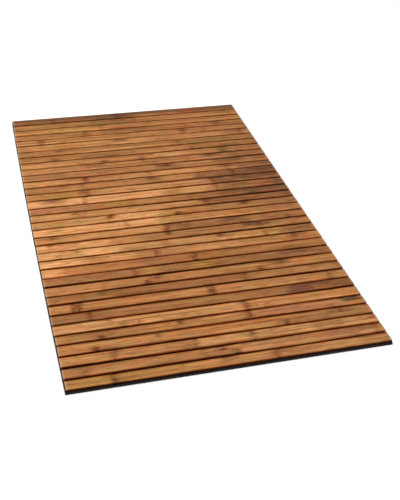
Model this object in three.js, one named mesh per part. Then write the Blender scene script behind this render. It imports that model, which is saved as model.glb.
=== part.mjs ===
// A flat bamboo bath mat: thirty-five planed slats lie side by side across a thin felt backing,
// which holds them a few millimetres apart. Sizes are in millimetres. +X runs along the slats,
// +Y from the front edge to the far edge, +Z up. The origin is the middle of the underside.
import * as THREE from 'three';

// Driving sizes of the whole mat
const MAT_WIDTH = 500;
const MAT_LENGTH = 800;
// The left side swells by this much between its two corners, which lie further in
const LEFT_SWELL = 2.6;

// The felt, and how far it reaches past the slats on each side
const BACKING_THICKNESS = 2.2;
const FRONT_OVERHANG = 3;
const FAR_OVERHANG = 1;
const LEFT_OVERHANG = 0.8;
const RIGHT_OVERHANG = 1.4;
const SWELL_STEPS = 12;

// The slats
const SLAT_THICKNESS = 4.5;
const EDGE_RADIUS = 1;
const EDGE_STEPS = 3;
const END_RUN = 2;
const END_EASE = 0.8;
const END_STEPS = 2;
// Free height left under the slats, where the glue line is
const GLUE_GAP = 0.3;

// Slats are split from the cane by hand: no two are quite alike, square or level at their ends
const SLAT_WIDTHS = { trimmed: 17.4, narrow: 17.8, plain: 19.2, wide: 20.2, broad: 22.4 };
const LARGEST_STAGGER = 0.3;
const STAGGER_RHYTHM = 1.7;

const WOOD_COLOURS = { pale: 0xc08a54, honey: 0xb07a4a, brown: 0x93613a };
const WOOD_ROUGHNESS = 0.45;
const FELT_COLOUR = 0x2a2421;
const FELT_ROUGHNESS = 0.95;

// The row of slats as it is laid, from the front edge to the far edge. A slat that is not laid
// square has a skew: how much nearer to the far edge its right end lies than its left one.
const SLAT_ROW = [
  { width: 'trimmed', wood: 'honey' },
  { width: 'plain', wood: 'honey' },
  { width: 'plain', wood: 'pale', skew: -0.8 },
  { width: 'wide', wood: 'honey', skew: -1.2 },
  { width: 'narrow', wood: 'honey', skew: -1.2 },
  { width: 'wide', wood: 'pale', skew: -0.5 },
  { width: 'plain', wood: 'brown' },
  { width: 'wide', wood: 'honey' },
  { width: 'narrow', wood: 'brown' },
  { width: 'wide', wood: 'honey', skew: 0.5 },
  { width: 'plain', wood: 'brown' },
  { width: 'wide', wood: 'pale' },
  { width: 'plain', wood: 'honey' },
  { width: 'plain', wood: 'pale' },
  { width: 'plain', wood: 'honey', skew: 1.4 },
  { width: 'plain', wood: 'brown', skew: 2.2 },
  { width: 'wide', wood: 'pale', skew: 1.6 },
  { width: 'plain', wood: 'honey', skew: 0.7 },
  { width: 'narrow', wood: 'honey' },
  { width: 'narrow', wood: 'brown' },
  { width: 'broad', wood: 'pale', skew: 0.7 },
  { width: 'plain', wood: 'honey', skew: 0.8 },
  { width: 'wide', wood: 'brown', skew: 0.6 },
  { width: 'narrow', wood: 'honey' },
  { width: 'wide', wood: 'brown' },
  { width: 'plain', wood: 'brown', skew: 1.0 },
  { width: 'plain', wood: 'honey', skew: 1.2 },
  { width: 'plain', wood: 'brown', skew: 1.4 },
  { width: 'plain', wood: 'honey', skew: 1.8 },
  { width: 'wide', wood: 'pale', skew: 1.6 },
  { width: 'plain', wood: 'honey', skew: 0.9 },
  { width: 'narrow', wood: 'brown' },
  { width: 'plain', wood: 'honey', skew: 0.7 },
  { width: 'wide', wood: 'honey', skew: 0.7 },
  { width: 'broad', wood: 'brown', skew: 0.5 },
];

const slatBase = BACKING_THICKNESS + GLUE_GAP;
const slatWidths = SLAT_ROW.map((slat) => SLAT_WIDTHS[slat.width]);
const roomForSlats = MAT_LENGTH - FRONT_OVERHANG - FAR_OVERHANG;
const gapBetweenSlats =
  (roomForSlats - slatWidths.reduce((sum, width) => sum + width, 0)) / (SLAT_ROW.length - 1);

// The left side of the mat at a place along its length: a shallow parabola
function leftSideAt(y) {
  const share = y / (MAT_LENGTH / 2);
  return -MAT_WIDTH / 2 + LEFT_SWELL * share * share;
}

// The felt sheet, cut with the slats on it, so its left side swells as theirs does
function makeBacking() {
  const right = MAT_WIDTH / 2;
  const end = MAT_LENGTH / 2;
  const outline = new THREE.Shape();
  outline.moveTo(right, -end);
  outline.lineTo(right, end);
  outline.lineTo(leftSideAt(end), end);
  outline.quadraticCurveTo(leftSideAt(0) - LEFT_SWELL, 0, leftSideAt(-end), -end);
  const geometry = new THREE.ExtrudeGeometry(outline, {
    depth: BACKING_THICKNESS,
    bevelEnabled: false,
    curveSegments: SWELL_STEPS,
  });
  const finish = new THREE.MeshStandardMaterial({
    color: FELT_COLOUR,
    roughness: FELT_ROUGHNESS,
    metalness: 0,
  });
  const backing = new THREE.Mesh(geometry, finish);
  backing.name = 'backing';
  return backing;
}

// A slat's section across the grain: flat underneath, with both top edges rounded over
function slatSection(width) {
  const side = width / 2;
  const shoulder = SLAT_THICKNESS - EDGE_RADIUS;
  const section = new THREE.Shape();
  section.moveTo(-side, 0);
  section.lineTo(side, 0);
  section.absarc(side - EDGE_RADIUS, shoulder, EDGE_RADIUS, 0, Math.PI / 2);
  section.absarc(-side + EDGE_RADIUS, shoulder, EDGE_RADIUS, Math.PI / 2, Math.PI);
  return section;
}

// The section drawn out to the slat's length, with both ends eased. Its length runs along X,
// its middle is at X = 0 and its underside at Z = 0.
function slatGeometry(width, length) {
  const geometry = new THREE.ExtrudeGeometry(slatSection(width), {
    depth: length - 2 * END_RUN,
    curveSegments: EDGE_STEPS,
    bevelEnabled: true,
    bevelThickness: END_RUN,
    bevelSize: END_EASE,
    bevelOffset: -END_EASE,
    bevelSegments: END_STEPS,
  });
  geometry.translate(0, 0, END_RUN - length / 2);
  const alongX = new THREE.Matrix4().makeBasis(
    new THREE.Vector3(0, 1, 0),
    new THREE.Vector3(0, 0, 1),
    new THREE.Vector3(1, 0, 0),
  );
  return geometry.applyMatrix4(alongX);
}

// One slat in its place: number counts from 1 at the front, middle is its centre line's Y
function makeSlat(number, width, { wood, skew = 0 }, middle) {
  const stagger = LARGEST_STAGGER * Math.sin(STAGGER_RHYTHM * number);
  const left = leftSideAt(middle) + LEFT_OVERHANG + stagger;
  const right = MAT_WIDTH / 2 - RIGHT_OVERHANG - Math.abs(stagger);
  const finish = new THREE.MeshStandardMaterial({
    color: WOOD_COLOURS[wood],
    roughness: WOOD_ROUGHNESS,
    metalness: 0,
  });
  const slat = new THREE.Mesh(slatGeometry(width, right - left), finish);
  slat.name = `slat_${String(number).padStart(2, '0')}`;
  slat.position.set((left + right) / 2, middle, slatBase);
  slat.rotation.z = Math.atan2(skew, right - left);
  return slat;
}

function makeMat() {
  const mat = new THREE.Group();
  mat.name = 'bamboo_mat';
  mat.add(makeBacking());
  let edge = -MAT_LENGTH / 2 + FRONT_OVERHANG;
  SLAT_ROW.forEach((slat, place) => {
    const width = slatWidths[place];
    mat.add(makeSlat(place + 1, width, slat, edge + width / 2));
    edge += width + gapBetweenSlats;
  });
  return mat;
}

export default makeMat();
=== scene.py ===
"""A slatted bamboo bath mat, lying flat: carbonised, varnished slats side by side on thin felt."""

import logging
import math
from collections.abc import Mapping, Sequence
from dataclasses import dataclass, field
from enum import Enum

import bpy
from mathutils import Matrix, Vector, noise


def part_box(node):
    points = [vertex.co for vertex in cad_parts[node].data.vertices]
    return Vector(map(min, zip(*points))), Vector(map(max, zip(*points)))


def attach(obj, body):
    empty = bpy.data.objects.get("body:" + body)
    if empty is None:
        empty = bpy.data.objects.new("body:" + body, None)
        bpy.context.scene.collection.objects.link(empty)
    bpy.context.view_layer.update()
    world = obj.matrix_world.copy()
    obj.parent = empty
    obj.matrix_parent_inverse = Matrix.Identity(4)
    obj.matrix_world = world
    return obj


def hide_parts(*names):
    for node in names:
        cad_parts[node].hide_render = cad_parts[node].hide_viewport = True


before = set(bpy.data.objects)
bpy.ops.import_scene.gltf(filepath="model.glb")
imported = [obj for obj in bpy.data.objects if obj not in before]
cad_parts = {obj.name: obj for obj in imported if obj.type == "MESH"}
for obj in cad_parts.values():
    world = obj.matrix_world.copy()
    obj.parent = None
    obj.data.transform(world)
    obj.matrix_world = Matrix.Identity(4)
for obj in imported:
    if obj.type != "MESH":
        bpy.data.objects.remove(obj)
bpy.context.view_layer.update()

BODY = "root"
MILLIMETRE = 0.001

log = logging.getLogger("bamboo_mat")

Colour = tuple[float, float, float]
Point = tuple[float, float, float]
Pair = tuple[float, float]


class Tone(Enum):
    """The colours that carbonised bamboo takes, as linear red, green and blue; the palest is painted
    light.
    """

    # Painted light: this palest tone stands in for a pool of light on the left middle of the mat
    LIT_BLOND = (0.670, 0.335, 0.148)
    STRAW = (0.490, 0.242, 0.096)
    HONEY = (0.414, 0.185, 0.066)
    AMBER = (0.440, 0.172, 0.052)
    GOLD = (0.385, 0.200, 0.050)
    ROSE = (0.388, 0.163, 0.082)
    TAN = (0.338, 0.147, 0.053)
    RUST = (0.275, 0.078, 0.025)
    UMBER = (0.225, 0.092, 0.034)
    OLIVE = (0.218, 0.119, 0.031)
    SMOKE = (0.155, 0.069, 0.029)
    PLUM = (0.146, 0.052, 0.030)
    SOOT = (0.080, 0.035, 0.018)


class Strip(Enum):
    """A slat is glued up from two strips of cane; this names one of them, or both."""

    NEAR = "near"
    FAR = "far"
    BOTH = "both"

    def covers(self, other: "Strip") -> bool:
        """Tells whether a mark on this strip also lies on the other one."""
        return self in (Strip.BOTH, other)


@dataclass(frozen=True)
class Joint:
    """A joint of the cane: a dark line straight across a strip, with a scorched smudge round it.

    Lengths are in metres from the slat's left end, and depth runs from 0 to 1.
    """

    at: float
    depth: float = 0.8
    strip: Strip = Strip.BOTH


@dataclass(frozen=True)
class Stain:
    """A stretch of a strip in another tone, with soft ends: most are where the steam carbonised the
    cane, a few are painted light and painted shade.
    """

    start: float
    end: float
    tone: Tone
    depth: float = 0.5
    strip: Strip = Strip.BOTH
    softness: float = 14.0 * MILLIMETRE

    def share_at(self, along: float) -> float:
        """Gives how much of this stain lies at a place along the slat.

        Args:
            along: The distance from the slat's left end.

        Returns:
            A share from 0 to depth.
        """
        rise = ease((along - self.start) / self.softness + 0.5)
        fall = ease((self.end - along) / self.softness + 0.5)
        return self.depth * rise * fall


@dataclass(frozen=True)
class SlatPlan:
    """The look of one slat: its own tone, and what the cane and the steam left on it; some stains are
    painted light and shade.
    """

    tone: Tone
    marks: tuple[Joint | Stain, ...] = ()

    def joints(self, strip: Strip) -> list[Joint]:
        """Gives the joints on one strip."""
        return [mark for mark in self.marks if isinstance(mark, Joint) and mark.strip.covers(strip)]

    def stains(self, strip: Strip) -> list[Stain]:
        """Gives the stains on one strip."""
        return [mark for mark in self.marks if isinstance(mark, Stain) and mark.strip.covers(strip)]


NEAR, FAR = Strip.NEAR, Strip.FAR
LIT_BLOND, STRAW, HONEY, AMBER, GOLD, ROSE, TAN, RUST, UMBER, OLIVE, SMOKE, PLUM, SOOT = Tone

# The row of slats as it is laid, from the front edge to the far edge. A joint has its place, its
# depth and its strip; a stain has its start and end, its tone, its depth and its strip.
# Painted light and shade: stains in the palest tone over the left ends of slats 12 to 21 stand in for
# a pool of light on the left middle; the long dark stains over the right ends of slats 14 to 24 are
# partly the cane's own tone, partly painted shade on the darker right middle
MAT_ROW: tuple[SlatPlan, ...] = (
    SlatPlan(HONEY, (
        Joint(0.070, 0.9), Joint(0.313, 0.7), Stain(0.060, 0.084, UMBER, 0.3),
        Stain(0.000, 0.070, GOLD, 0.8), Stain(0.086, 0.200, GOLD),
        Stain(0.228, 0.250, SMOKE, 0.6, FAR), Stain(0.304, 0.336, UMBER, 0.6, FAR),
        Stain(0.360, 0.490, STRAW), Stain(0.446, 0.462, OLIVE, 0.3),
    )),
    SlatPlan(HONEY, (
        Joint(0.031, 0.5, NEAR), Joint(0.237, 1.0, FAR), Joint(0.257, 0.9, NEAR), Joint(0.482, 0.4),
        Stain(0.000, 0.190, TAN, 0.6), Stain(0.022, 0.040, SMOKE, 0.6, FAR),
        Stain(0.200, 0.250, UMBER, 0.6), Stain(0.248, 0.266, PLUM, 0.5, NEAR),
        Stain(0.270, 0.365, ROSE, 0.4), Stain(0.395, 0.480, ROSE, 0.6),
        Stain(0.440, 0.470, UMBER, 0.4, FAR),
    )),
    SlatPlan(STRAW, (
        Joint(0.079), Joint(0.202, 0.7), Joint(0.291, 0.7), Stain(0.000, 0.140, HONEY, 0.6),
        Stain(0.150, 0.200, TAN, 0.6), Stain(0.275, 0.305, OLIVE, 0.5, FAR),
        Stain(0.305, 0.345, HONEY, 0.6), Stain(0.388, 0.434, TAN, 0.7),
        Stain(0.484, 0.500, RUST, 0.9, FAR),
    )),
    SlatPlan(HONEY, (
        Joint(0.056, 0.9, NEAR), Joint(0.153, 0.6, FAR), Joint(0.352, 0.9, NEAR),
        Joint(0.446, 0.7, FAR), Stain(0.045, 0.090, UMBER, 0.4, NEAR),
        Stain(0.160, 0.330, AMBER, 0.4, FAR), Stain(0.338, 0.375, UMBER, 0.5, NEAR),
        Stain(0.375, 0.500, TAN, 0.7), Stain(0.423, 0.470, UMBER, 0.6, FAR),
    )),
    SlatPlan(HONEY, (
        Joint(0.068, 1.0, NEAR), Joint(0.193, 1.0, FAR), Joint(0.301, 0.9),
        Stain(0.000, 0.180, TAN), Stain(0.055, 0.090, UMBER), Stain(0.183, 0.225, UMBER, 0.6, FAR),
        Stain(0.310, 0.452, ROSE, 0.7), Stain(0.455, 0.490, SOOT, 0.8, FAR),
    )),
    SlatPlan(STRAW, (
        Joint(0.088, 0.7, FAR), Joint(0.105, 0.9, NEAR), Joint(0.132, 0.5, NEAR), Joint(0.304, 0.9),
        Joint(0.338, 0.7, NEAR), Stain(0.300, 0.500, AMBER), Stain(0.296, 0.316, UMBER, 0.4, FAR),
    )),
    SlatPlan(TAN, (
        Joint(0.061, 0.7), Stain(0.000, 0.500, UMBER, 0.3), Stain(0.050, 0.075, UMBER, 0.6),
        Stain(0.090, 0.300, HONEY, 0.2), Stain(0.384, 0.430, PLUM, 0.8),
        Stain(0.430, 0.500, UMBER, 0.8),
    )),
    SlatPlan(HONEY, (
        Joint(0.040, 1.0), Joint(0.047, 1.0), Joint(0.262, 1.0), Joint(0.466),
        Stain(0.036, 0.052, UMBER, 0.6), Stain(0.110, 0.150, AMBER), Stain(0.254, 0.270, UMBER),
        Stain(0.275, 0.420, STRAW, 0.3),
    )),
    SlatPlan(TAN, (
        Joint(0.088, 0.6, FAR), Joint(0.325, 0.7), Stain(0.080, 0.102, OLIVE, 0.9, FAR),
        Stain(0.110, 0.310, UMBER, 0.4), Stain(0.316, 0.340, UMBER, 0.4),
        Stain(0.350, 0.500, HONEY, 0.4),
    )),
    SlatPlan(HONEY, (
        Joint(0.166, 1.0, NEAR), Joint(0.187, 0.6, FAR), Joint(0.359, 1.0, NEAR),
        Joint(0.400, 0.9, FAR), Stain(0.158, 0.175, PLUM, 0.8, NEAR),
        Stain(0.170, 0.192, PLUM, 0.7, FAR), Stain(0.110, 0.340, TAN),
        Stain(0.350, 0.372, UMBER, 0.5, NEAR), Stain(0.380, 0.412, UMBER, 0.8, FAR),
    )),
    SlatPlan(TAN, (
        Joint(0.151, 0.7), Stain(0.000, 0.500, UMBER, 0.3), Stain(0.030, 0.056, OLIVE, 0.3),
        Stain(0.136, 0.158, ROSE), Stain(0.165, 0.186, GOLD, 0.8), Stain(0.252, 0.280, GOLD, 0.9),
        Stain(0.335, 0.380, UMBER, 0.6, FAR), Stain(0.405, 0.460, SMOKE, 0.7, FAR),
    )),
    SlatPlan(AMBER, (
        Joint(0.259), Stain(0.000, 0.040, LIT_BLOND, 0.8), Stain(0.040, 0.200, HONEY, 0.6),
        Stain(0.150, 0.240, ROSE), Stain(0.180, 0.500, UMBER, 0.35),
        Stain(0.250, 0.285, OLIVE, 0.6, FAR), Stain(0.300, 0.500, TAN),
    )),
    SlatPlan(HONEY, (
        Joint(0.199), Joint(0.450, 0.9, FAR), Joint(0.449, 0.4, NEAR),
        Stain(0.000, 0.160, LIT_BLOND, 0.8), Stain(0.070, 0.110, AMBER, 0.6),
        Stain(0.190, 0.228, ROSE, 0.6), Stain(0.270, 0.345, STRAW),
        Stain(0.436, 0.476, UMBER, 0.7, FAR),
    )),
    SlatPlan(STRAW, (
        Joint(0.036, 0.6, NEAR), Joint(0.063, 0.9, FAR), Joint(0.221, 0.4), Joint(0.320, 0.9, FAR),
        Joint(0.333, 0.8, NEAR), Joint(0.402, 0.7), Stain(0.000, 0.035, LIT_BLOND),
        Stain(0.078, 0.140, LIT_BLOND, 0.8), Stain(0.143, 0.186, OLIVE, 0.4, NEAR),
        Stain(0.210, 0.232, AMBER), Stain(0.304, 0.345, UMBER, 0.6, FAR), Stain(0.350, 0.394, GOLD),
        Stain(0.410, 0.430, GOLD, 0.7), Stain(0.432, 0.500, UMBER, 0.8),
    )),
    SlatPlan(HONEY, (
        Joint(0.025, 0.8, FAR), Joint(0.231, 1.0, FAR), Joint(0.400, 0.6),
        Stain(0.000, 0.125, LIT_BLOND, 0.7), Stain(0.180, 0.375, UMBER),
        Stain(0.368, 0.425, SMOKE, 0.8, FAR), Stain(0.380, 0.412, OLIVE, 0.5, NEAR),
        Stain(0.425, 0.500, TAN, 0.8),
    )),
    SlatPlan(HONEY, (
        Joint(0.030, 0.9, FAR), Joint(0.232), Joint(0.259, 0.6, FAR), Joint(0.461, 0.9, NEAR),
        Stain(0.020, 0.044, UMBER, 0.5, FAR), Stain(0.060, 0.215, STRAW, 0.7),
        Stain(0.226, 0.390, UMBER, 0.75), Stain(0.340, 0.372, SOOT, 0.6, FAR),
        Stain(0.390, 0.500, TAN, 0.7),
    )),
    SlatPlan(STRAW, (
        Joint(0.166, 0.5), Stain(0.000, 0.245, LIT_BLOND, 0.95), Stain(0.026, 0.056, GOLD, 0.4),
        Stain(0.226, 0.256, GOLD, 0.7), Stain(0.262, 0.500, HONEY, 0.8),
        Stain(0.346, 0.390, AMBER, 0.6), Stain(0.430, 0.492, TAN, 0.6),
    )),
    SlatPlan(HONEY, (
        Joint(0.143, 1.0, FAR), Joint(0.264, 1.0, NEAR), Joint(0.395, 0.9, FAR),
        Stain(0.000, 0.135, STRAW, 0.9), Stain(0.028, 0.062, GOLD),
        Stain(0.134, 0.156, RUST, 0.6, FAR), Stain(0.150, 0.235, LIT_BLOND, 0.8),
        Stain(0.236, 0.260, GOLD, 0.8), Stain(0.258, 0.285, OLIVE, 0.7, NEAR),
        Stain(0.288, 0.500, TAN, 0.9), Stain(0.380, 0.408, UMBER, 0.7, FAR),
        Stain(0.440, 0.500, UMBER),
    )),
    SlatPlan(HONEY, (
        Joint(0.082, 0.9, FAR), Joint(0.097, 0.6, FAR), Joint(0.326, 1.0),
        Stain(0.000, 0.070, STRAW, 0.8), Stain(0.110, 0.150, GOLD, 0.6),
        Stain(0.150, 0.305, STRAW, 0.9), Stain(0.330, 0.500, UMBER, 0.85),
        Stain(0.312, 0.345, SMOKE, 0.8, FAR), Stain(0.478, 0.500, PLUM),
    )),
    SlatPlan(TAN, (
        Joint(0.300, 0.3), Stain(0.000, 0.120, ROSE), Stain(0.145, 0.185, GOLD, 0.8),
        Stain(0.195, 0.290, HONEY, 0.6), Stain(0.360, 0.410, UMBER, 0.7),
        Stain(0.405, 0.500, SMOKE, 0.85), Stain(0.436, 0.470, RUST, 0.6, NEAR),
    )),
    SlatPlan(STRAW, (
        Joint(0.106), Joint(0.360, 0.7), Stain(0.000, 0.250, LIT_BLOND),
        Stain(0.024, 0.070, PLUM, 0.6, FAR), Stain(0.040, 0.070, GOLD, 0.5, NEAR),
        Stain(0.262, 0.290, OLIVE), Stain(0.340, 0.366, ROSE, 0.8),
        Stain(0.366, 0.500, UMBER, 0.75), Stain(0.390, 0.425, UMBER, 0.7, FAR),
        Stain(0.425, 0.450, AMBER), Stain(0.476, 0.500, SMOKE, 0.7),
    )),
    SlatPlan(HONEY, (
        Joint(0.104, 0.9, FAR), Joint(0.114, 1.0), Joint(0.359, 0.9),
        Stain(0.030, 0.092, GOLD, 0.7), Stain(0.130, 0.345, STRAW, 0.7),
        Stain(0.332, 0.350, ROSE, 0.6), Stain(0.366, 0.500, UMBER, 0.9),
        Stain(0.350, 0.375, SMOKE, 0.7, FAR), Stain(0.396, 0.500, SOOT, 0.45, FAR),
    )),
    SlatPlan(TAN, (
        Joint(0.108, 0.6, FAR), Joint(0.242, 1.0, FAR), Joint(0.408),
        Stain(0.055, 0.078, SMOKE, 0.6, FAR), Stain(0.120, 0.225, HONEY, 0.6),
        Stain(0.230, 0.262, SMOKE, 0.6, FAR), Stain(0.265, 0.385, HONEY, 0.7),
        Stain(0.330, 0.500, UMBER, 0.85), Stain(0.440, 0.500, SOOT, 0.6, FAR),
    )),
    SlatPlan(HONEY, (
        Joint(0.119, 0.9), Joint(0.244, 1.0, FAR), Joint(0.402, 0.9), Stain(0.000, 0.100, STRAW),
        Stain(0.108, 0.130, ROSE, 0.8), Stain(0.260, 0.330, STRAW),
        Stain(0.388, 0.416, SMOKE, 0.8, FAR), Stain(0.418, 0.500, UMBER, 0.7),
        Stain(0.470, 0.500, SMOKE, 0.5, FAR),
    )),
    SlatPlan(TAN, (
        Joint(0.284, 1.0, FAR), Stain(0.060, 0.085, UMBER, 0.6, FAR),
        Stain(0.090, 0.200, HONEY, 0.6), Stain(0.208, 0.260, HONEY, 0.6),
        Stain(0.270, 0.305, PLUM, 0.7, FAR), Stain(0.310, 0.380, HONEY),
        Stain(0.385, 0.450, SMOKE, 0.8, FAR), Stain(0.460, 0.500, UMBER, 0.6, FAR),
    )),
    SlatPlan(HONEY, (
        Joint(0.243, 0.9, FAR), Joint(0.381, 0.7, FAR), Stain(0.060, 0.090, TAN, 0.8),
        Stain(0.115, 0.155, UMBER, 0.7, FAR), Stain(0.250, 0.340, TAN, 0.9),
        Stain(0.000, 0.200, ROSE, 0.5, NEAR), Stain(0.340, 0.410, ROSE, 0.4),
        Stain(0.365, 0.405, SMOKE, 0.7, FAR), Stain(0.410, 0.500, UMBER, 0.6),
    )),
    SlatPlan(HONEY, (
        Joint(0.165, 1.0, NEAR), Joint(0.263, 1.0, FAR), Joint(0.242, 0.9, NEAR),
        Joint(0.412, 0.9, NEAR), Stain(0.000, 0.150, STRAW), Stain(0.155, 0.180, OLIVE, 0.6, NEAR),
        Stain(0.225, 0.250, ROSE, 0.7), Stain(0.265, 0.335, STRAW, 0.7),
        Stain(0.400, 0.428, OLIVE, 0.8), Stain(0.440, 0.500, TAN, 0.7),
    )),
    SlatPlan(TAN, (
        Joint(0.069, 0.8, NEAR), Joint(0.353, 0.9, NEAR), Joint(0.491, 0.5),
        Stain(0.000, 0.500, GOLD, 0.25), Stain(0.058, 0.082, UMBER, 0.6, NEAR),
        Stain(0.110, 0.200, UMBER, 0.6, NEAR), Stain(0.245, 0.335, HONEY, 0.95),
        Stain(0.415, 0.460, SMOKE, 0.7, NEAR), Stain(0.470, 0.500, RUST, 0.4, NEAR),
    )),
    SlatPlan(TAN, (
        Joint(0.082, 0.9, FAR), Joint(0.331, 0.6), Stain(0.000, 0.500, GOLD, 0.25),
        Stain(0.074, 0.092, UMBER, 0.6, FAR), Stain(0.100, 0.230, HONEY, 0.7),
        Stain(0.315, 0.340, RUST), Stain(0.345, 0.500, OLIVE, 0.35),
    )),
    SlatPlan(HONEY, (
        Joint(0.205, 0.9, FAR), Joint(0.474, 0.7), Stain(0.176, 0.195, ROSE, 0.6),
        Stain(0.195, 0.228, SMOKE, 0.7, FAR), Stain(0.200, 0.290, STRAW, 0.9, NEAR),
        Stain(0.300, 0.430, STRAW, 0.6, NEAR), Stain(0.440, 0.486, UMBER, 0.7, FAR),
    )),
    SlatPlan(HONEY, (
        Joint(0.050, 0.9), Joint(0.352, 0.9), Stain(0.040, 0.062, UMBER),
        Stain(0.205, 0.235, OLIVE, 0.5, FAR), Stain(0.340, 0.365, UMBER, 0.8, FAR),
        Stain(0.375, 0.500, TAN, 0.7),
    )),
    SlatPlan(TAN, (
        Joint(0.145, 0.7), Joint(0.432), Stain(0.000, 0.140, HONEY),
        Stain(0.160, 0.245, STRAW, 0.7, NEAR), Stain(0.185, 0.285, UMBER, 0.8, FAR),
        Stain(0.300, 0.400, AMBER), Stain(0.418, 0.445, UMBER, 0.9, FAR),
        Stain(0.446, 0.470, AMBER, 0.5, FAR),
    )),
    SlatPlan(HONEY, (
        Joint(0.183, 0.7), Joint(0.425, 0.6, FAR), Stain(0.010, 0.170, GOLD, 0.6),
        Stain(0.198, 0.246, RUST, 0.6, NEAR), Stain(0.260, 0.420, TAN, 0.5, FAR),
        Stain(0.460, 0.500, AMBER, 0.5, NEAR),
    )),
    SlatPlan(TAN, (
        Joint(0.257), Stain(0.000, 0.500, GOLD, 0.25), Stain(0.050, 0.100, OLIVE, 0.3, FAR),
        Stain(0.165, 0.245, OLIVE, 0.6), Stain(0.208, 0.245, RUST, 0.8, FAR),
        Stain(0.300, 0.500, HONEY, 0.4),
    )),
    SlatPlan(UMBER, (
        Joint(0.086, 0.6), Joint(0.225, 0.9), Stain(0.000, 0.500, SMOKE, 0.8, FAR),
        Stain(0.050, 0.080, OLIVE, 0.6, NEAR), Stain(0.110, 0.160, RUST, 0.5, NEAR),
        Stain(0.175, 0.205, SMOKE, 0.7), Stain(0.210, 0.250, PLUM, 0.6),
        Stain(0.260, 0.360, TAN, 0.8, NEAR), Stain(0.365, 0.400, RUST, 0.8),
    )),
)

# Each slat has two long edges, counted from the front; these two bound the whole row
OUTER_EDGES = (2, 2 * len(MAT_ROW) + 1)


def ease(share: float) -> float:
    """Gives a smooth step from 0 to 1 as the share goes from 0 to 1."""
    held = min(1.0, max(0.0, share))
    return held * held * (3.0 - 2.0 * held)


def waver(along: float, row: float, turn: float) -> float:
    """Gives smooth, fixed noise from -1 to 1 along a row; row and turn set it apart from others."""
    return noise.noise(Vector((along, row, turn)))


def blend_colours(first: Colour, second: Colour, share: float) -> Colour:
    """Mixes two colours.

    Args:
        first: The colour at share 0.
        second: The colour at share 1.
        share: How far to go from the first to the second.

    Returns:
        The mixed colour.
    """
    red, green, blue = (a + (b - a) * share for a, b in zip(first, second))
    return red, green, blue


@dataclass(frozen=True)
class Link:
    """A number that varies over a surface: an output socket that takes part in sums."""

    graph: "Graph"
    socket: bpy.types.NodeSocket

    def _maths(self, operation: str, first: "Link | float", second: "Link | float") -> "Link":
        """Adds one Math node."""
        return self.graph.add("ShaderNodeMath", {"operation": operation}, {0: first, 1: second})

    def __add__(self, other: "Link | float") -> "Link":
        """Adds."""
        return self._maths("ADD", self, other)

    def __radd__(self, other: float) -> "Link":
        """Adds, with the number first."""
        return self._maths("ADD", other, self)

    def __sub__(self, other: "Link | float") -> "Link":
        """Subtracts."""
        return self._maths("SUBTRACT", self, other)

    def __rsub__(self, other: float) -> "Link":
        """Subtracts from a number."""
        return self._maths("SUBTRACT", other, self)

    def __mul__(self, other: "Link | float") -> "Link":
        """Multiplies."""
        return self._maths("MULTIPLY", self, other)

    def __rmul__(self, other: float) -> "Link":
        """Multiplies, with the number first."""
        return self._maths("MULTIPLY", other, self)

    def __truediv__(self, other: "Link | float") -> "Link":
        """Divides."""
        return self._maths("DIVIDE", self, other)

    def __abs__(self) -> "Link":
        """Drops the sign."""
        return self._maths("ABSOLUTE", self, 0.0)

    def step(self, low: float, high: float) -> "Link":
        """Gives a smooth step that rises from 0 at low to 1 at high."""
        return self.graph.add(
            "ShaderNodeMapRange",
            {"interpolation_type": "SMOOTHSTEP"},
            {"Value": self, "From Min": low, "From Max": high},
        )


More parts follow.
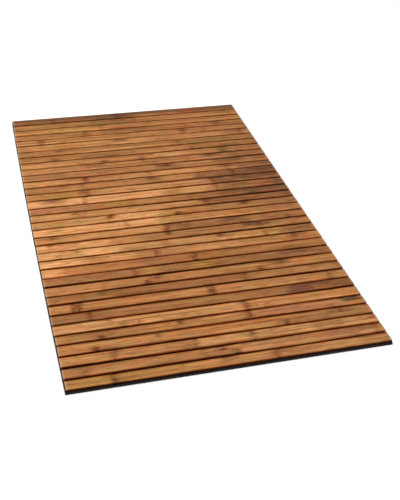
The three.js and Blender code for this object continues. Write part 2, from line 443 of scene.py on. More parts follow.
class Graph:
    """A material under construction: its node tree, and the one method that adds to it."""

    def __init__(self, name: str) -> None:
        """Starts an empty material.

        Args:
            name: The material's name.
        """
        self.material = bpy.data.materials.new(name)
        self.material.use_nodes = True
        self.tree = self.material.node_tree
        self.tree.nodes.clear()

    def add(
        self,
        kind: str,
        settings: Mapping[str, object],
        sockets: Mapping[str | int, object],
        output: str | int = 0,
    ) -> Link:
        """Adds a node.

        Args:
            kind: The node's type.
            settings: Its own settings, which are set first.
            sockets: A value or a link for each input, by name or place.
            output: The output to hand on.

        Returns:
            The chosen output.
        """
        node = self.tree.nodes.new(kind)
        for name, value in settings.items():
            setattr(node, name, value)
        for name, value in sockets.items():
            if isinstance(value, Link):
                self.tree.links.new(value.socket, node.inputs[name])
            else:
                node.inputs[name].default_value = value
        return Link(self, node.outputs[output])

    def attribute(self, name: str, output: str) -> Link:
        """Reads what a mesh carries under a name."""
        return self.add("ShaderNodeAttribute", {"attribute_name": name}, {}, output)

    def parts(self, vector: Link) -> tuple[Link, Link, Link]:
        """Takes a vector apart.

        Args:
            vector: The vector.

        Returns:
            Its three parts.
        """
        first = self.add("ShaderNodeSeparateXYZ", {}, {"Vector": vector})
        outputs = first.socket.node.outputs
        return first, Link(self, outputs[1]), Link(self, outputs[2])

    def grain(self, place: Sequence[Link], detail: float, roughness: float = 0.5) -> Link:
        """Adds noise at a place given by its three coordinates, already scaled.

        Args:
            place: The three coordinates.
            detail: How many finer layers the noise has.
            roughness: How strong the finer layers are.

        Returns:
            A number that varies round 0.5.
        """
        vector = self.add("ShaderNodeCombineXYZ", {}, dict(enumerate(place)))
        return self.add(
            "ShaderNodeTexNoise",
            {},
            {"Vector": vector, "Scale": 1.0, "Detail": detail, "Roughness": roughness},
        )

    def tint(
        self, colour: Link | Colour, factor: Link, by: Colour, mode: str = "MULTIPLY"
    ) -> Link:
        """Mixes a fixed colour into another.

        Args:
            colour: The colour to change.
            factor: How far it changes.
            by: The fixed colour.
            mode: How the two are mixed.

        Returns:
            The changed colour.
        """
        first = colour if isinstance(colour, Link) else (*colour, 1.0)
        settings = {"data_type": "RGBA", "blend_type": mode}
        return self.add("ShaderNodeMix", settings, {0: factor, 6: first, 7: (*by, 1.0)}, 2)

    def bump(self, height: Link, strength: float, distance: float) -> Link:
        """Turns a height into a normal that the surface shader takes."""
        sockets = {"Strength": strength, "Distance": distance, "Height": height}
        return self.add("ShaderNodeBump", {}, sockets)

    def finish(self, sockets: Mapping[str, object]) -> bpy.types.Material:
        """Closes the material with its surface shader.

        Args:
            sockets: What the shader's inputs take.

        Returns:
            The finished material.
        """
        shader = self.add("ShaderNodeBsdfPrincipled", {}, sockets)
        end = self.tree.nodes.new("ShaderNodeOutputMaterial")
        self.tree.links.new(shader.socket, end.inputs["Surface"])
        return self.material


# Regions of the mat, in metres from its middle, over which painted shade and highlight, streaks and
# the greyer right ends change: towards the front, towards the far edge, and towards the right
FRONT_REGION: Pair = (-0.36, -0.05)
FAR_REGION: Pair = (0.0, 0.28)
RIGHT_REGION: Pair = (-0.16, 0.16)


def millimetres(start: float, end: float) -> Pair:
    """Turns a stretch in millimetres into metres."""
    return start * MILLIMETRE, end * MILLIMETRE


@dataclass(frozen=True)
class Grain:
    """Noise in the cane, drawn out along its fibres.

    along and across are how often it changes in a metre, and shift is how far it moves from one
    strip to the next. A grain that shows on the walls changes as often downwards as across.
    """

    along: float
    across: float
    shift: float = 1.0
    detail: float = 2.0
    roughness: float = 0.5
    walls: bool = False


@dataclass(frozen=True)
class Wash:
    """A change of colour that sets in over a stretch of noise values, or of metres.

    Its depth is the one at the mat's middle. The front, the far edge and the front's right side
    add to it.
    """

    stretch: Pair
    depth: float
    tint: Colour
    front: float = 0.0
    far: float = 0.0
    front_right: float = 0.0
    mode: str = "MULTIPLY"


# A wash, and how much of it lies at a place
Layer = tuple[Wash, Link]


class Cane:
    """The place that is coloured, as links: on the mat, on its strip and from the slat's edges."""

    def __init__(self, graph: Graph) -> None:
        """Reads the place.

        Args:
            graph: The material under construction.
        """
        self.graph = graph
        place = graph.add("ShaderNodeTexCoord", {}, {}, "Object")
        self.along, self.across, self.up = graph.parts(place)
        cane, edges = graph.attribute("cane", "Vector"), graph.attribute("edges", "Vector")
        self.from_joint, self.joint_depth, self.seed = graph.parts(cane)
        self.from_end, self.from_near, self.from_far = graph.parts(edges)
        self.front = 1 - self.across.step(*FRONT_REGION)
        self.far = self.across.step(*FAR_REGION)
        self.right = self.along.step(*RIGHT_REGION)

    def grain(self, grain: Grain) -> Link:
        """Gives a grain's noise there.

        Args:
            grain: The grain.

        Returns:
            A number that varies round 0.5.
        """
        along = self.along * grain.along + self.seed * grain.shift
        down = self.up * grain.across if grain.walls else self.seed
        place = (along, self.across * grain.across, down)
        return self.graph.grain(place, grain.detail, grain.roughness)

    def washed(self, colour: Link, wash: Wash, share: Link) -> Link:
        """Lays a wash over a colour.

        Args:
            colour: The colour so far.
            wash: The wash.
            share: How much of it lies there.

        Returns:
            The washed colour.
        """
        depth: Link | float = wash.depth
        if wash.front or wash.far:
            front = self.front * (self.right * wash.front_right + wash.front)
            depth = front + wash.depth + self.far * wash.far
        return self.graph.tint(colour, share * depth, wash.tint, wash.mode)


@dataclass(frozen=True)
class BambooFinish:
    """Toasted bamboo under satin varnish: fibres, flecks, joints, pale ends, painted shade and
    highlight.
    """

    # Grains
    fibre: Grain = Grain(22, 1500, detail=3.0, roughness=0.6, walls=True)
    band: Grain = Grain(5, 300, 3, detail=3.0, roughness=0.6, walls=True)
    streak: Grain = Grain(3.5, 620, 6, walls=True)
    fleck: Grain = Grain(210, 2400, detail=1.0, walls=True)
    hue: Grain = Grain(34, 130, 7)
    cloud: Grain = Grain(14, 60, 5)
    patch: Grain = Grain(48, 170, 4)
    ragged: Grain = Grain(110, 420, 0)
    blotch: Grain = Grain(125, 300)
    wander: Grain = Grain(26, 50, 9, detail=3.0)

    # Washes that follow a grain
    ruddy: Wash = Wash((0.48, 0.68), 0.80, (1.12, 0.92, 0.76))
    greenish: Wash = Wash((0.48, 0.68), 0.80, (0.84, 0.96, 0.80))
    clouded: Wash = Wash((0.38, 0.72), 0.50, (0.73, 0.65, 0.49))
    patched: Wash = Wash((0.50, 0.66), 0.60, (0.67, 0.56, 0.40))
    dark_band: Wash = Wash((0.48, 0.70), 0.75, (0.60, 0.50, 0.40))
    pale_band: Wash = Wash((0.48, 0.72), 0.60, (1.30, 1.33, 1.30))
    pale_streak: Wash = Wash((0.50, 0.66), 0.55, (1.34, 1.38, 1.40), far=0.35)
    dark_streak: Wash = Wash((0.50, 0.66), 0.55, (0.72, 0.64, 0.56), far=0.35)
    dark_fibre: Wash = Wash((0.42, 0.72), 0.50, (0.52, 0.41, 0.32))
    flecked: Wash = Wash((0.66, 0.76), 0.40, (0.38, 0.26, 0.18))

    # Washes by place: joints, and painted shade and highlight at the far right, edges, ends and walls
    # Painted shade: the far right of the mat made a little darker, as if less light falls there
    far_right_shade: Wash = Wash((0.02, 0.24), 1.0, (0.92, 0.91, 0.90))
    far_right_shade_across: Pair = (-0.02, 0.16)
    smudge: Wash = Wash(millimetres(2, 10), 0.35, (0.60, 0.46, 0.34))
    smudge_fading: float = 0.3
    smudge_blotch: Wash = Wash((0.44, 0.60), 1.0, (0.52, 0.37, 0.22))
    core: Wash = Wash(millimetres(0.4, 2.2), 0.30, (0.48, 0.36, 0.24))
    joint_wander: float = 5 * MILLIMETRE
    # Painted highlight: a pale, near-white line along each slat's near shoulder, stronger towards the
    # far edge
    shoulder: Wash = Wash(millimetres(1.2, 2.4), 0.25, (1.32, 1.34, 1.30), far=0.45)
    shoulder_end: Pair = millimetres(3.6, 6.0)
    shoulder_breaks: Pair = (0.42, 0.56)
    edge_wander: float = 4 * MILLIMETRE
    # Painted shade: each slat darkens towards both long edges, down to the gaps, more at the front
    # and less towards the far edge
    near_edge_shade: Wash = Wash(
        millimetres(0.0, 2.3), 0.55, (0.62, 0.40, 0.16), front=0.45, far=-0.35, front_right=-0.35
    )
    far_edge_shade: Wash = Wash(millimetres(0.0, 3.8), 0.60, (0.54, 0.34, 0.11), front=0.40, far=-0.40)
    # Paler near both slat ends: partly pale bare cane, partly a painted highlight where the eased
    # ends catch the light
    pale_ends: Wash = Wash(millimetres(1.1, 4.2), 0.40, (0.54, 0.37, 0.25), mode="MIX")
    # Greyer and darker at the right slat ends only: partly painted shade on the eased ends that face
    # away from the light, partly greyish end grain
    grey_right_ends: Wash = Wash(millimetres(1.1, 2.52), 0.50, (0.66, 0.68, 0.72))
    # Painted shade: the last millimetre of each slat end, end faces included, mixed to a very dark
    # brown as if in shadow
    cut: Wash = Wash(millimetres(0.66, 1.1), 0.90, (0.075, 0.042, 0.024), mode="MIX")
    # Painted shade: the upright faces, walls down into the gaps and the ends, made darker and browner
    wall: Wash = Wash((0.25, 0.85), 0.95, (1.00, 0.55, 0.13))
    # Painted shade: the lowest few millimetres of the slats, deep in the gaps, made much darker, more
    # at the front and less towards the far edge
    low_wall_shade: Wash = Wash(millimetres(3.4, 5.6), 0.78, (0.12, 0.08, 0.05), front=0.14, far=-0.22)
    # Painted shade: the front slat's outer wall made darker
    front_wall_shade: Wash = Wash((-0.3966, -0.3958), 0.90, (0.24, 0.20, 0.24))

    # Varnish and relief
    roughness: float = 0.42
    fibre_roughness: float = 0.16
    smudge_roughness: float = 0.14
    bare_roughness: float = 0.20
    reflection: float = 0.08
    coat: float = 0.02
    coat_roughness: float = 0.32
    relief: float = 0.12 * MILLIMETRE
    relief_strength: float = 0.45
    deep_relief: float = 0.5
    shallow_relief: float = 0.3

    def grain_layers(self, cane: Cane, fibre: Link, band: Link, fleck: Link) -> list[Layer]:
        """Gives the layers of colour that the grain makes.

        Args:
            cane: The place.
            fibre: The noise of the fibres there.
            band: The noise of the bands.
            fleck: The noise of the flecks.

        Returns:
            Each wash and how much of it lies there.
        """
        hue, streak = cane.grain(self.hue), cane.grain(self.streak)
        # Painted shade over the far right of the mat
        far_right_shade = cane.along.step(*self.far_right_shade.stretch) * cane.across.step(*self.far_right_shade_across)
        washes = (
            (self.ruddy, hue),
            (self.greenish, 1 - hue),
            (self.clouded, cane.grain(self.cloud)),
            (self.patched, cane.grain(self.patch)),
            (self.dark_band, band),
            (self.pale_band, 1 - band),
            (self.pale_streak, streak),
            (self.dark_streak, 1 - streak),
            (self.dark_fibre, fibre),
            (self.flecked, fleck),
        )
        layers = [(wash, value.step(*wash.stretch)) for wash, value in washes]
        return [(self.far_right_shade, far_right_shade), *layers]

    def joint_shares(self, cane: Cane) -> tuple[Link, Link]:
        """Gives how much of a joint lies at a place.

        Args:
            cane: The place.

        Returns:
            The share of its smudge, and the share of its dark core.
        """
        offset = abs(cane.from_joint + (cane.grain(self.ragged) - 0.5) * self.joint_wander)
        smudge = (1 - offset.step(*self.smudge.stretch)) * cane.joint_depth
        core = (1 - offset.step(*self.core.stretch)) * cane.joint_depth
        return smudge * (1 - cane.far * self.smudge_fading), core

    def edge_layers(self, cane: Cane) -> list[Layer]:
        """Gives the layers of colour along a slat's long edges.

        Args:
            cane: The place.

        Returns:
            The painted highlight on the near shoulder, and the painted shade down to the two gaps.
        """
        wander = cane.grain(self.wander)
        stray = (wander - 0.5) * self.edge_wander
        # Painted highlight along the near shoulder
        shoulder = cane.from_near.step(*self.shoulder.stretch)
        shoulder = shoulder * (1 - cane.from_near.step(*self.shoulder_end))
        return [
            (self.shoulder, shoulder * wander.step(*self.shoulder_breaks)),
            # Painted shade down to the gaps on both long edges
            (self.near_edge_shade, 1 - (cane.from_near + stray).step(*self.near_edge_shade.stretch)),
            (self.far_edge_shade, 1 - (cane.from_far + stray).step(*self.far_edge_shade.stretch)),
        ]

    def material(self) -> bpy.types.Material:
        """Builds the material.

        Returns:
            The material that every slat shares.
        """
        graph = Graph("toasted_bamboo")
        cane = Cane(graph)
        fibre, band, fleck = cane.grain(self.fibre), cane.grain(self.band), cane.grain(self.fleck)
        smudge, core = self.joint_shares(cane)
        blotch = cane.grain(self.blotch).step(*self.smudge_blotch.stretch)
        # The last millimetre of each slat end: painted shade in its colour, bare end grain in its
        # roughness
        cut = 1 - cane.from_end.step(*self.cut.stretch)
        normal = graph.add("ShaderNodeNewGeometry", {}, {}, "Normal")
        # The upright faces: painted shade in their colour, bare sawn cane in their roughness
        wall = 1 - abs(graph.parts(normal)[2]).step(*self.wall.stretch)
        layers = [
            *self.grain_layers(cane, fibre, band, fleck),
            (self.smudge, smudge),
            (self.smudge_blotch, smudge * blotch),
            (self.core, core),
            *self.edge_layers(cane),
            # The ends: a paler band, partly painted highlight; a greyer band on the right, partly
            # painted shade; painted shade on the last millimetre
            (self.pale_ends, 1 - cane.from_end.step(*self.pale_ends.stretch)),
            (self.grey_right_ends, (1 - cane.from_end.step(*self.grey_right_ends.stretch)) * cane.right),
            (self.cut, cut),
            # Painted shade on the upright faces, low in the gaps and on the front slat's outer wall
            (self.wall, wall),
            (self.low_wall_shade, 1 - cane.up.step(*self.low_wall_shade.stretch)),
            (self.front_wall_shade, wall * (1 - cane.across.step(*self.front_wall_shade.stretch))),
        ]
        colour = graph.attribute("stain", "Color")
        for wash, share in layers:
            colour = cane.washed(colour, wash, share)

        flecks = fleck.step(*self.flecked.stretch)
        height = fibre * self.deep_relief + band * self.shallow_relief
        height = height - flecks * self.shallow_relief - core * self.deep_relief
        rough = self.roughness + (fibre - 0.5) * self.fibre_roughness
        rough = rough + smudge * self.smudge_roughness
        return graph.finish({
            "Base Color": colour,
            "Roughness": rough + wall * self.bare_roughness + cut * self.bare_roughness,
            "Specular IOR Level": self.reflection,
            "Coat Weight": self.coat,
            "Coat Roughness": self.coat_roughness,
            "Normal": graph.bump(height, self.relief_strength, self.relief),
        })


@dataclass(frozen=True)
class FeltFinish:
    """Needle-punched charcoal felt, flecked with a few paler fibres."""

    ground: Colour = (0.0130, 0.0112, 0.0100)
    clumped: Wash = Wash((0.35, 0.70), 1.0, (1.5, 1.5, 1.5))
    pale_hair: Wash = Wash((0.60, 0.74), 0.7, (0.060, 0.052, 0.046), mode="MIX")
    crossed_hair: Wash = Wash((0.62, 0.76), 0.5, (0.060, 0.052, 0.046), mode="MIX")
    # How often the noises change in a metre, and how far the hairs bend
    bends: float = 260.0
    along_hair: float = 900.0
    across_hair: float = 2600.0
    downwards: float = 1800.0
    clumps: float = 45.0
    bend: float = 6.0
    detail: float = 3.0
    hair_roughness: float = 0.65
    relief: float = 0.5 * MILLIMETRE
    relief_strength: float = 0.7
    hair_relief: float = 0.5
    clump_relief: float = 0.6
    roughness: float = 0.95
    reflection: float = 0.12
    sheen: float = 0.04
    sheen_roughness: float = 0.5

    def material(self) -> bpy.types.Material:
        """Builds the material.

        Returns:
            The backing's material.
        """
        graph = Graph("charcoal_felt")
        x, y, z = graph.parts(graph.add("ShaderNodeTexCoord", {}, {}, "Object"))
        bend = graph.grain([way * self.bends for way in (x, y, z)], self.detail) * self.bend
        clumps = graph.grain([way * self.clumps for way in (x, y, z)], self.detail)
        down = z * self.downwards
        hairs, crossed = (
            graph.grain(place, self.detail, self.hair_roughness)
            for place in (
                (x * self.along_hair + bend, y * self.across_hair, down),
                (x * self.across_hair, y * self.along_hair + bend, down),
            )
        )
        colour: Link | Colour = self.ground
        washes = ((self.clumped, clumps), (self.pale_hair, hairs), (self.crossed_hair, crossed))
        for wash, value in washes:
            share = value.step(*wash.stretch) * wash.depth
            colour = graph.tint(colour, share, wash.tint, wash.mode)
        height = hairs * self.hair_relief + crossed * self.hair_relief + clumps * self.clump_relief
        return graph.finish({
            "Base Color": colour,
            "Roughness": self.roughness,
            "Specular IOR Level": self.reflection,
            "Sheen Weight": self.sheen,
            "Sheen Roughness": self.sheen_roughness,
            "Normal": graph.bump(height, self.relief_strength, self.relief),
        })


@dataclass
class Loft:
    """A closed mesh under construction: rings of points in a row, with a face over each end."""

    rings: list[list[Point]] = field(default_factory=list)

    def mesh(self, name: str) -> bpy.types.Mesh:
        """Joins each ring to the next and closes both ends.

        Args:
            name: The mesh's name.

        Returns:
            The mesh, whose side faces come first, ring by ring, and its two end faces last.
        """
        count = len(self.rings[0])
        faces: list[tuple[int, ...]] = [
            (base + i, base + count + i, base + count + (i + 1) % count, base + (i + 1) % count)
            for base in range(0, (len(self.rings) - 1) * count, count)
            for i in range(count)
        ]
        last = (len(self.rings) - 1) * count
        faces.append(tuple(range(count)))
        faces.append(tuple(range(last + count - 1, last - 1, -1)))
        mesh = bpy.data.meshes.new(name)
        mesh.from_pydata([point for ring in self.rings for point in ring], [], faces)
        mesh.polygons.foreach_set("use_smooth", [True] * (len(faces) - 2) + [False] * 2)
        mesh.update()
        return mesh


def show(name: str, mesh: bpy.types.Mesh, material: bpy.types.Material) -> bpy.types.Object:
    """Puts a mesh in the scene.

    Args:
        name: The object's name.
        mesh: Its mesh, in the frame's own coordinates.
        material: Its material.

    Returns:
        The new object.
    """
    piece = bpy.data.objects.new(name, mesh)
    mesh.materials.append(material)
    bpy.context.scene.collection.objects.link(piece)
    return piece


@dataclass(frozen=True)
class SlatPlace:
    """Where a slat lies, as its CAD solid has it."""

    middle: Vector
    turn: float
    length: float
    width: float
    base: float
    top: float

    @classmethod
    def of(cls, node: str) -> "SlatPlace":
        """Reads a slat's place from its solid.

        Args:
            node: The CAD node's name.

        Returns:
            The slat's place.
        """
        points = [vertex.co.copy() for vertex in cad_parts[node].data.vertices]
        low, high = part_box(node)
        middle = (low + high) / 2
        ends = []
        for side in (-1, 1):
            half = [p for p in points if (p.x - middle.x) * side > 0]
            ends.append(sum(half, Vector()) / len(half))
        run = ends[1] - ends[0]
        turn = math.atan2(run.y, run.x)
        back = Matrix.Rotation(-turn, 3, "Z")
        level = [back @ (p - middle) for p in points]
        return cls(
            middle=middle,
            turn=turn,
            length=max(p.x for p in level) - min(p.x for p in level),
            width=max(p.y for p in level) - min(p.y for p in level),
            base=low.z,
            top=high.z,
        )

    def point(self, along: float, across: float, height: float) -> Point:
        """Turns a place on the slat into one in the frame.

        Args:
            along: The distance from the slat's left end.
            across: The distance from its centre line, towards the far edge.
            height: The height over its underside.

        Returns:
            The point in the frame.
        """
        x = along - self.length / 2
        cos, sin = math.cos(self.turn), math.sin(self.turn)
        return (
            self.middle.x + x * cos - across * sin,
            self.middle.y + x * sin + across * cos,
            self.base + height,
        )


@dataclass
class Slat:
    """One slat: a planed double strip of cane, never quite straight, with eased edges and ends."""

    number: int
    plan: SlatPlan
    step: float = 4.0 * MILLIMETRE
    edge_radius: float = 0.7 * MILLIMETRE
    edge_steps: int = 4
    top_steps: int = 10
    crown: float = 0.12 * MILLIMETRE
    end_run: float = 2.2 * MILLIMETRE
    end_drop: float = 1.0 * MILLIMETRE
    end_shares: tuple[float, ...] = (0.0, 0.12, 0.3, 0.55, 1.0)
    corner_inset: float = 0.3 * MILLIMETRE
    # How far the long edges stray, and how often they turn in a metre
    sway: float = 1.30 * MILLIMETRE
    outer_sway: float = 0.35 * MILLIMETRE
    slow_turns: float = 5.5
    quick_turns: float = 26.0
    quick_share: float = 0.25
    top_wave: float = 0.05 * MILLIMETRE
    top_turns: Pair = (30.0, 120.0)
    joint_swell: float = 0.10 * MILLIMETRE
    joint_reach: float = 4.0 * MILLIMETRE
    # How unevenly the stains run out, from one line of points to the next and along it
    stain_drift: float = 16.0 * MILLIMETRE
    stain_flicker: float = 0.7
    flicker_turns: float = 55.0
    # How far the grain's seed moves from slat to slat, and on a slat's far strip
    seed_step: float = 2.37
    far_strip_seed: float = 0.9

    @property
    def node(self) -> str:
        """The CAD node that this slat stands for."""
        return f"slat_{self.number:02d}"

    def stations(self, length: float) -> list[float]:
        """Gives the places along the slat that have a ring of points.

        Args:
            length: The slat's length.

        Returns:
            Distances from the left end, closest together over the eased ends.
        """
        eased = [self.end_run * share for share in self.end_shares]
        count = round((length - 2 * self.end_run) / self.step)
        run = (length - 2 * self.end_run) / count
        between = [self.end_run + run * i for i in range(1, count)]
        return eased + between + [length - place for place in reversed(eased)]

    def section(self, place: SlatPlace) -> list[Pair]:
        """Gives the slat's section across the grain, from the middle of its underside round.

        Args:
            place: Where the slat lies.

        Returns:
            Pairs of distance across and height, first those on the far strip, then the near one.
        """
        side, thickness, radius = place.width / 2, place.top - place.base, self.edge_radius
        inner, shoulder = side - radius, thickness - radius
        half: list[Pair] = [(0.0, 0.0), (side, 0.0), (side, shoulder / 2)]
        for i in range(self.edge_steps + 1):
            angle = math.pi / 2 * i / self.edge_steps
            half.append((inner + radius * math.cos(angle), shoulder + radius * math.sin(angle)))
        for i in range(1, self.top_steps // 2):
            half.append((inner * (1 - 2 * i / self.top_steps), thickness))
        mirrored = [(-across, height) for across, height in reversed(half[1:])]
        return half + [(0.0, thickness)] + mirrored

    def sway_at(self, along: float, far_side: bool) -> float:
        """Gives how far a long edge strays outwards.

        Args:
            along: The distance from the slat's left end.
            far_side: Whether this is the far edge.

        Returns:
            A distance, below zero where the edge strays inwards.
        """
        edge = self.number * 2 + int(far_side)
        sway = self.outer_sway if edge in OUTER_EDGES else self.sway
        slow = waver(along * self.slow_turns, edge * 3.7, 0.5)
        quick = waver(along * self.quick_turns, edge * 5.3, 2.5)
        return sway * (slow + self.quick_share * quick)

    def swell_at(self, along: float, strip: Strip) -> float:
        """Gives how far the cane's joints lift the surface.

        Args:
            along: The distance from the slat's left end.
            strip: The strip.

        Returns:
            The lift.
        """
        swell = 0.0
        for joint in self.plan.joints(strip):
            away = (along - joint.at) / self.joint_reach
            swell += self.joint_swell * joint.depth * math.exp(-(away**2))
        return swell

    def ring(self, place: SlatPlace, section: Sequence[Pair], along: float) -> list[Point]:
        """Gives the ring of points at one station.

        Args:
            place: Where the slat lies.
            section: Its section across the grain.
            along: The station.

        Returns:
            The ring's points in the frame.
        """
        from_end = min(along, place.length - along)
        closeness = 1 - min(1.0, from_end / self.end_run)
        eased = 1 - math.sqrt(max(0.0, 1 - closeness * closeness))
        side, thickness = place.width / 2, place.top - place.base
        turns_along, turns_across = self.top_turns
        points = []
        for across, height in section:
            share, rise = across / side, height / thickness
            stray = self.sway_at(along, across > 0) * share * abs(share)
            inset = share * self.corner_inset * eased
            wave = waver(along * turns_along, across * turns_across, self.number * 1.9)
            swell = self.swell_at(along, FAR if across > 0 else NEAR)
            bulge = swell * (1 - share * share) - self.crown * share * share
            lift = rise * (self.top_wave * wave + bulge)
            drop = rise * self.end_drop * eased
            points.append(place.point(along, across + stray - inset, height + lift - drop))
        return points

    def colour_at(self, along: float, strip: Strip, line: int) -> Colour:
        """Gives the toasted colour at a place along a strip.

        Args:
            along: The distance from the slat's left end.
            strip: The strip.
            line: Which line of points round the slat this is.

        Returns:
            The colour.
        """
        colour = self.plan.tone.value
        for order, stain in enumerate(self.plan.stains(strip)):
            drift = self.stain_drift * waver(line * 0.83, self.number * 2.9, order * 4.1)
            flicker = waver(along * self.flicker_turns, line * 0.6, self.number + order * 7.7)
            share = min(1.0, stain.share_at(along + drift) * (1 + self.stain_flicker * flicker))
            colour = blend_colours(colour, stain.tone.value, share)
        return colour

    def cane_at(self, along: float, strip: Strip) -> Point:
        """Gives what the finish has to know of the cane at a place along a strip.

        Args:
            along: The distance from the slat's left end.
            strip: The strip.

        Returns:
            The distance to the nearest joint, that joint's depth, and the strip's own seed.
        """
        seed = self.number * self.seed_step + (self.far_strip_seed if strip is FAR else 0.0)
        joints = self.plan.joints(strip)
        if not joints:
            return 1.0, 0.0, seed
        nearest = min(joints, key=lambda joint: abs(along - joint.at))
        return along - nearest.at, nearest.depth, seed

    def dress(
        self,
        mesh: bpy.types.Mesh,
        place: SlatPlace,
        stations: Sequence[float],
        section: Sequence[Pair],
    ) -> None:
        """Writes on every face corner what the bamboo's finish reads there.

        Args:
            mesh: The slat's mesh, as Loft makes it.
            place: Where the slat lies.
            stations: The places along the slat that have a ring.
            section: The slat's section across the grain.
        """
        ring_size, side = len(section), place.width / 2
        side_faces = (len(stations) - 1) * ring_size
        canes = {
            (station, strip): self.cane_at(along, strip)
            for station, along in enumerate(stations)
            for strip in (FAR, NEAR)
        }
        lines = [(FAR if line <= ring_size // 2 else NEAR, line) for line in range(ring_size)]
        colours = [
            [(*self.colour_at(along, strip, line), 1.0) for strip, line in lines]
            for along in stations
        ]
        colour_row: list[float] = []
        cane_row: list[float] = []
        edge_row: list[float] = []
        for polygon in mesh.polygons:
            around = polygon.index % ring_size
            strip = FAR if polygon.index < side_faces and around < ring_size // 2 else NEAR
            for vertex in polygon.vertices:
                station, line = divmod(vertex, ring_size)
                along, across = stations[station], section[line][0]
                colour_row.extend(colours[station][line])
                cane_row.extend(canes[station, strip])
                edge_row.extend((min(along, place.length - along), side + across, side - across))
        mesh.attributes.new("stain", "FLOAT_COLOR", "CORNER").data.foreach_set("color", colour_row)
        mesh.attributes.new("cane", "FLOAT_VECTOR", "CORNER").data.foreach_set("vector", cane_row)
        mesh.attributes.new("edges", "FLOAT_VECTOR", "CORNER").data.foreach_set("vector", edge_row)

    def build(self, material: bpy.types.Material) -> bpy.types.Object:
        """Makes the slat in its place.

        Args:
            material: The bamboo's finish.

        Returns:
            The slat, which stands for its CAD node.
        """
        place = SlatPlace.of(self.node)
        section = self.section(place)
        stations = self.stations(place.length)
        name = f"bamboo_{self.node}"
        mesh = Loft([self.ring(place, section, along) for along in stations]).mesh(name)
        self.dress(mesh, place, stations, section)
        piece = show(name, mesh, material)
        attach(piece, BODY)
        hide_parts(self.node)
        return piece


@dataclass
class SlatRow:
    """All the slats of the mat, from the front edge to the far edge."""

    plans: tuple[SlatPlan, ...] = MAT_ROW
    finish: BambooFinish = field(default_factory=BambooFinish)

    def build(self) -> list[bpy.types.Object]:
        """Makes every slat.

        Returns:
            The slats, front one first.
        """
        material = self.finish.material()
        return [Slat(number, plan).build(material) for number, plan in enumerate(self.plans, 1)]


@dataclass
class Backing:
    """The felt sheet under the slats: cut a little unevenly, its front right corner trimmed."""

    flat_size: tuple[float, float] = (0.5, 0.8)
    glue_line: float = 0.22 * MILLIMETRE
    step_along: float = 6.0 * MILLIMETRE
    columns: int = 72
    edge_radius: float = 0.7 * MILLIMETRE
    edge_steps: int = 3
    ragged: float = 0.25 * MILLIMETRE
    ragged_turns: float = 60.0
    corner_trim: float = 1.6 * MILLIMETRE
    corner_reach: float = 6.5 * MILLIMETRE
    node: str = "backing"
    finish: FeltFinish = field(default_factory=FeltFinish)

    def left_side(self) -> list[Pair]:
        """Reads the left side of the CAD sheet.

        Returns:
            Pairs of Y and X, front first.
        """
        digits = 6
        places = (vertex.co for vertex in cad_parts[self.node].data.vertices)
        return sorted({(round(at.y, digits), round(at.x, digits)) for at in places if at.x < 0})

    @staticmethod
    def between(points: Sequence[Pair], at: float) -> float:
        """Reads a line through sorted pairs at one place.

        Args:
            points: The pairs, lowest first.
            at: A first value between them.

        Returns:
            The second value there.
        """
        for (first, low), (second, high) in zip(points, points[1:]):
            if at <= second:
                return low + (high - low) * (at - first) / (second - first)
        return points[-1][1]

    def ring(self, left: float, right: float, y: float, thickness: float, drop: float) -> list[Point]:
        """Gives the ring of points across the sheet at one place along it.

        Args:
            left: The sheet's left side there.
            right: Its right side.
            y: The place along it.
            thickness: Its thickness.
            drop: How far its top and bottom draw together there, at the cut ends.

        Returns:
            The ring's points, from the lower left corner along the underside.
        """
        low, high = drop, thickness - drop
        radius = min(self.edge_radius, (high - low) / 2)
        shares = [i / self.columns for i in range(self.columns + 1)]
        points: list[Point] = []
        for start, end, level, turn in (
            (left + radius, right - radius, low, -math.pi / 2),
            (right - radius, left + radius, high, math.pi / 2),
        ):
            points += [(start + (end - start) * share, y, level) for share in shares]
            for i in range(1, 2 * self.edge_steps):
                angle = turn + math.pi * i / (2 * self.edge_steps)
                out, up = radius * math.cos(angle), radius * math.sin(angle)
                points.append((end + out, y, up + (low + radius if up < 0 else high - radius)))
        return points

    def rows(self, front: float, back: float) -> list[Pair]:
        """Gives the places along the sheet that have a ring of points.

        Args:
            front: The Y of its front end.
            back: The Y of its far end.

        Returns:
            Pairs of Y and of how far top and bottom draw together there.
        """
        radius = self.edge_radius
        count = round((back - front - 2 * radius) / self.step_along)
        run = (back - front - 2 * radius) / count
        angles = [math.pi / 2 * i / self.edge_steps for i in range(self.edge_steps)]
        eased = [(front + radius * (1 - math.cos(a)), radius * (1 - math.sin(a))) for a in angles]
        level = [(front + radius + run * i, 0.0) for i in range(count + 1)]
        return eased + level + [(front + back - y, drop) for y, drop in reversed(eased)]

    def build(self) -> bpy.types.Object:
        """Makes the sheet in its place.

        Returns:
            The felt sheet, which stands for its CAD node.
        """
        low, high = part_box(self.node)
        sides = self.left_side()
        thickness = high.z + self.glue_line
        rings = []
        for y, drop in self.rows(low.y, high.y):
            left_cut, right_cut = (
                self.ragged * abs(waver(y * self.ragged_turns, side * 9.1, 0.3)) for side in (1, 2)
            )
            trim = self.corner_trim * max(0.0, 1 - (y - low.y) / self.corner_reach)
            left, right = self.between(sides, y) + left_cut, high.x - right_cut - trim
            rings.append(self.ring(left, right, y, thickness, drop))
        piece = show("felt_backing", Loft(rings).mesh("felt_backing"), self.finish.material())
        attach(piece, BODY)
        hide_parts(self.node)
        return piece


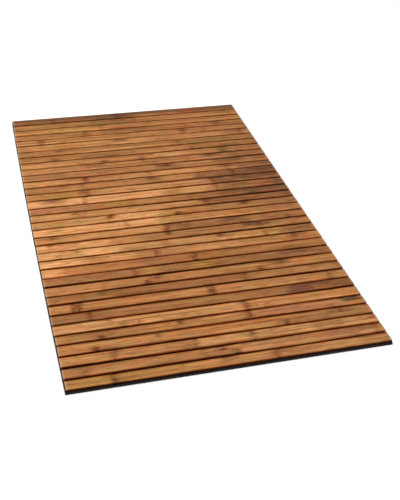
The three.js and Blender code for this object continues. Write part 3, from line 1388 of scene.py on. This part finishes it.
@dataclass(frozen=True)
class SoftBox:
    """A soft studio light: a lit panel that faces a place on the mat."""

    name: str
    place: Point
    aim: Point
    width: float
    height: float
    power: float
    colour: Colour = (1.0, 1.0, 1.0)

    def build(self) -> bpy.types.Object:
        """Hangs the light.

        Returns:
            The light.
        """
        data = bpy.data.lights.new(self.name, "AREA")
        data.shape = "RECTANGLE"
        data.size, data.size_y = self.width, self.height
        data.energy = self.power
        data.color = self.colour
        light = bpy.data.objects.new(self.name, data)
        light.location = self.place
        light.rotation_mode = "QUATERNION"
        light.rotation_quaternion = (Vector(self.aim) - Vector(self.place)).to_track_quat("-Z", "Y")
        bpy.context.scene.collection.objects.link(light)
        return light


@dataclass(frozen=True)
class Camera:
    """The camera, which stands by the mat's front left corner and looks down along it."""

    place: Point = (-0.3248, -1.1540, 0.8146)
    azimuth: float = 16.12
    dip: float = 36.72
    roll: float = 3.08
    lens: float = 56.95
    sensor: float = 36.0
    shift_x: float = 0.057
    clip: Pair = (0.01, 50.0)

    def build(self) -> bpy.types.Object:
        """Sets up the camera and makes it the scene's own.

        Returns:
            The camera.
        """
        data = bpy.data.cameras.new("camera")
        data.lens, data.sensor_width, data.shift_x = self.lens, self.sensor, self.shift_x
        data.clip_start, data.clip_end = self.clip
        camera = bpy.data.objects.new("camera", data)
        turn = Matrix.Rotation(-math.radians(self.azimuth), 4, "Z")
        tilt = Matrix.Rotation(math.radians(90 - self.dip), 4, "X")
        lean = Matrix.Rotation(math.radians(self.roll), 4, "Z")
        camera.matrix_world = Matrix.Translation(self.place) @ turn @ tilt @ lean
        bpy.context.scene.collection.objects.link(camera)
        bpy.context.scene.camera = camera
        return camera


@dataclass
class Studio:
    """A pale floor, an even sky and soft lights."""

    floor_size: float = 12.0
    floor_colour: Colour = (0.94, 0.94, 0.94)
    sky: Colour = (1.0, 1.0, 1.0)
    sky_strength: float = 0.50
    boxes: tuple[SoftBox, ...] = (
        SoftBox("top_box", (0.0, 0.2, 2.4), (0.0, 0.2, 0.0), 3.4, 3.4, 68.0),
        SoftBox("left_box", (-0.55, 0.10, 0.60), (-0.24, -0.02, 0.0), 0.5, 0.4, 1.6),
    )
    camera: Camera = field(default_factory=Camera)

    def floor(self) -> bpy.types.Object:
        """Lays the floor.

        Returns:
            The floor, which is left out of the mat's body.
        """
        graph = Graph("pale_floor")
        material = graph.finish({
            "Base Color": (*self.floor_colour, 1.0),
            "Roughness": 0.9,
            "Specular IOR Level": 0.0,
        })
        reach = self.floor_size / 2
        mesh = bpy.data.meshes.new("floor")
        turns = ((-1, -1), (1, -1), (1, 1), (-1, 1))
        corners = [(x * reach, y * reach, 0.0) for x, y in turns]
        mesh.from_pydata(corners, [], [(0, 1, 2, 3)])
        floor = show("floor", mesh, material)
        return floor

    def light(self) -> list[bpy.types.Object]:
        """Lights the sky and hangs the soft boxes.

        Returns:
            The lights.
        """
        scene = bpy.context.scene
        scene.view_settings.view_transform = "Standard"
        world = bpy.data.worlds.new("sky")
        world.use_nodes = True
        background = world.node_tree.nodes["Background"]
        background.inputs["Color"].default_value = (*self.sky, 1.0)
        background.inputs["Strength"].default_value = self.sky_strength
        scene.world = world
        return [box.build() for box in self.boxes]

    def build(self) -> None:
        """Sets up floor, light and camera."""
        self.floor()
        self.light()
        self.camera.build()


def main() -> None:
    """Builds the mat and the studio."""
    logging.basicConfig(level=logging.INFO, format="%(name)s: %(message)s")
    Studio().build()
    pieces = [Backing().build(), *SlatRow().build()]
    for piece in pieces:
        log.info("%s: %d faces", piece.name, len(piece.data.polygons))


if __name__ == "__main__":
    main()
